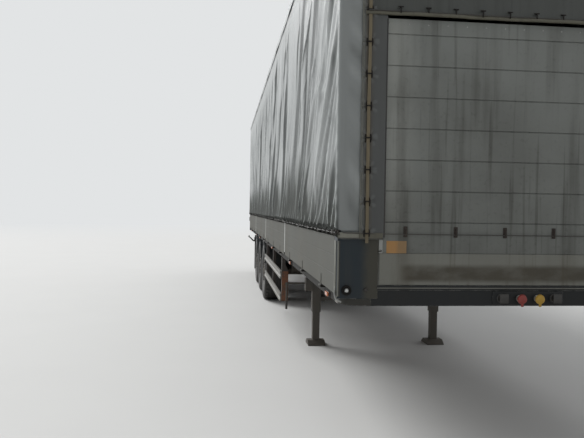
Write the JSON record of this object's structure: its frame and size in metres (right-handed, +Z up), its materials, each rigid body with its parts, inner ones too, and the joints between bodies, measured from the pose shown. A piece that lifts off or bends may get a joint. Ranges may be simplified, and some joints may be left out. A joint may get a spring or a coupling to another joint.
{
  "type": "semi trailer",
  "caption": "Covered semi trailer with hinged drop sides, rear doors, kingpin coupling, air-sprung axles and landing legs.",
  "frame": {"origin": "on the ground, midway along the overall length and width", "axes": "+X forward to the headboard, +Y to the trailer's left, +Z up"},
  "size_m": [13.77, 2.6018, 4],
  "materials": {
    "chassis_paint": "worn satin",
    "frame_steel": "dull galvanised",
    "corner_paint": "dusty satin",
    "board_aluminium": "dull anodised",
    "headboard_aluminium": "dull, dirty",
    "post_aluminium": "dull",
    "guard_aluminium": "dull anodised",
    "door_paint": "dusty satin",
    "gear_steel": "galvanised",
    "rear_paint": "dusty satin",
    "cover_fabric": "coated cloth, slightly glossy",
    "floor_wood": "coated plywood",
    "tyre_rubber": "worn, dusty",
    "rim_paint": "dusty silver",
    "axle_paint": "worn satin",
    "spring_rubber": "matt",
    "guard_plastic": "moulded",
    "flap_rubber": "matt",
    "tank_paint": "satin",
    "leg_paint": "worn, rusty",
    "lamp_plastic": "clear gloss",
    "coupling_metal": "greased"
  },
  "bodies": {
    "chassis": {"air_springs": "spring_rubber", "air_tanks": "tank_paint", "axles": "axle_paint", "board_hinges": "frame_steel", "coupling_plate": "chassis_paint", "cover_front": "cover_fabric", "cover_left": "cover_fabric", "cover_right": "cover_fabric", "cover_roof": "cover_fabric", "cross_members": "chassis_paint", "floor": "floor_wood", "front_member": "frame_steel", "front_posts": "corner_paint", "guard_posts": "frame_steel", "guard_rails": "guard_aluminium", "headboard": "headboard_aluminium", "kingpin": "coupling_metal", "lamp_bar": "chassis_paint", "landing_drive": "leg_paint", "landing_legs": "leg_paint", "line_couplings": "coupling_metal", "main_beams": "chassis_paint", "marker_lamps": "lamp_plastic", "mud_flaps": "flap_rubber", "mudguards": "guard_plastic", "outline_lamps": "flap_rubber", "rear_buffers": "flap_rubber", "rear_bumper": "chassis_paint", "rear_frame": "rear_paint", "rear_lamps": "lamp_plastic", "roof_frame": "post_aluminium", "side_frame_left": "post_aluminium", "side_frame_right": "post_aluminium", "side_rails": "frame_steel", "suspension_hangers": "axle_paint", "trailing_arms": "axle_paint"},
    "door_left": {"door_gear_left": "gear_steel", "door_left": "door_paint"},
    "door_right": {"door_gear_right": "gear_steel", "door_right": "door_paint"},
    "wheel_left_1": {"rim_left_1": "rim_paint", "tyre_left_1": "tyre_rubber"},
    "wheel_left_2": {"rim_left_2": "rim_paint", "tyre_left_2": "tyre_rubber"},
    "wheel_left_3": {"rim_left_3": "rim_paint", "tyre_left_3": "tyre_rubber"},
    "wheel_right_1": {"rim_right_1": "rim_paint", "tyre_right_1": "tyre_rubber"},
    "wheel_right_2": {"rim_right_2": "rim_paint", "tyre_right_2": "tyre_rubber"},
    "wheel_right_3": {"rim_right_3": "rim_paint", "tyre_right_3": "tyre_rubber"},
    "board_left_1": {"side_board_left_1": "board_aluminium"},
    "board_left_2": {"side_board_left_2": "board_aluminium"},
    "board_left_3": {"side_board_left_3": "board_aluminium"},
    "board_left_4": {"side_board_left_4": "board_aluminium"},
    "board_right_1": {"side_board_right_1": "board_aluminium"},
    "board_right_2": {"side_board_right_2": "board_aluminium"},
    "board_right_3": {"side_board_right_3": "board_aluminium"},
    "board_right_4": {"side_board_right_4": "board_aluminium"}
  },
  "joints": [
    {"name": "wheel_left_1_spin", "type": "hinge", "parent": "chassis", "child": "wheel_left_1", "pos_m": [-1.275, 1.02, 0.535], "axis": [0, 1, 0], "continuous": true},
    {"name": "wheel_left_2_spin", "type": "hinge", "parent": "chassis", "child": "wheel_left_2", "pos_m": [-2.585, 1.02, 0.535], "axis": [0, 1, 0], "continuous": true},
    {"name": "wheel_left_3_spin", "type": "hinge", "parent": "chassis", "child": "wheel_left_3", "pos_m": [-3.895, 1.02, 0.535], "axis": [0, 1, 0], "continuous": true},
    {"name": "wheel_right_1_spin", "type": "hinge", "parent": "chassis", "child": "wheel_right_1", "pos_m": [-1.275, -1.02, 0.535], "axis": [0, 1, 0], "continuous": true},
    {"name": "wheel_right_2_spin", "type": "hinge", "parent": "chassis", "child": "wheel_right_2", "pos_m": [-2.585, -1.02, 0.535], "axis": [0, 1, 0], "continuous": true},
    {"name": "wheel_right_3_spin", "type": "hinge", "parent": "chassis", "child": "wheel_right_3", "pos_m": [-3.895, -1.02, 0.535], "axis": [0, 1, 0], "continuous": true},
    {"name": "board_left_1_drop", "type": "hinge", "parent": "chassis", "child": "board_left_1", "pos_m": [5.0725, 1.264, 1.18], "axis": [-1, 0, 0], "range_deg": [0, 180]},
    {"name": "board_left_2_drop", "type": "hinge", "parent": "chassis", "child": "board_left_2", "pos_m": [1.6935, 1.264, 1.18], "axis": [-1, 0, 0], "range_deg": [0, 180]},
    {"name": "board_left_3_drop", "type": "hinge", "parent": "chassis", "child": "board_left_3", "pos_m": [-1.6855, 1.264, 1.18], "axis": [-1, 0, 0], "range_deg": [0, 180]},
    {"name": "board_left_4_drop", "type": "hinge", "parent": "chassis", "child": "board_left_4", "pos_m": [-5.0645, 1.264, 1.18], "axis": [-1, 0, 0], "range_deg": [0, 180]},
    {"name": "board_right_1_drop", "type": "hinge", "parent": "chassis", "child": "board_right_1", "pos_m": [5.0725, -1.264, 1.18], "axis": [1, 0, 0], "range_deg": [0, 180]},
    {"name": "board_right_2_drop", "type": "hinge", "parent": "chassis", "child": "board_right_2", "pos_m": [1.6935, -1.264, 1.18], "axis": [1, 0, 0], "range_deg": [0, 180]},
    {"name": "board_right_3_drop", "type": "hinge", "parent": "chassis", "child": "board_right_3", "pos_m": [-1.6855, -1.264, 1.18], "axis": [1, 0, 0], "range_deg": [0, 180]},
    {"name": "board_right_4_drop", "type": "hinge", "parent": "chassis", "child": "board_right_4", "pos_m": [-5.0645, -1.264, 1.18], "axis": [1, 0, 0], "range_deg": [0, 180]},
    {"name": "door_left_swing", "type": "hinge", "parent": "chassis", "child": "door_left", "pos_m": [-6.807, 1.262, 2.5625], "axis": [0, 0, -1], "range_deg": [0, 255]},
    {"name": "door_right_swing", "type": "hinge", "parent": "chassis", "child": "door_right", "pos_m": [-6.807, -1.262, 2.5625], "axis": [0, 0, 1], "range_deg": [0, 255]}
  ]
}
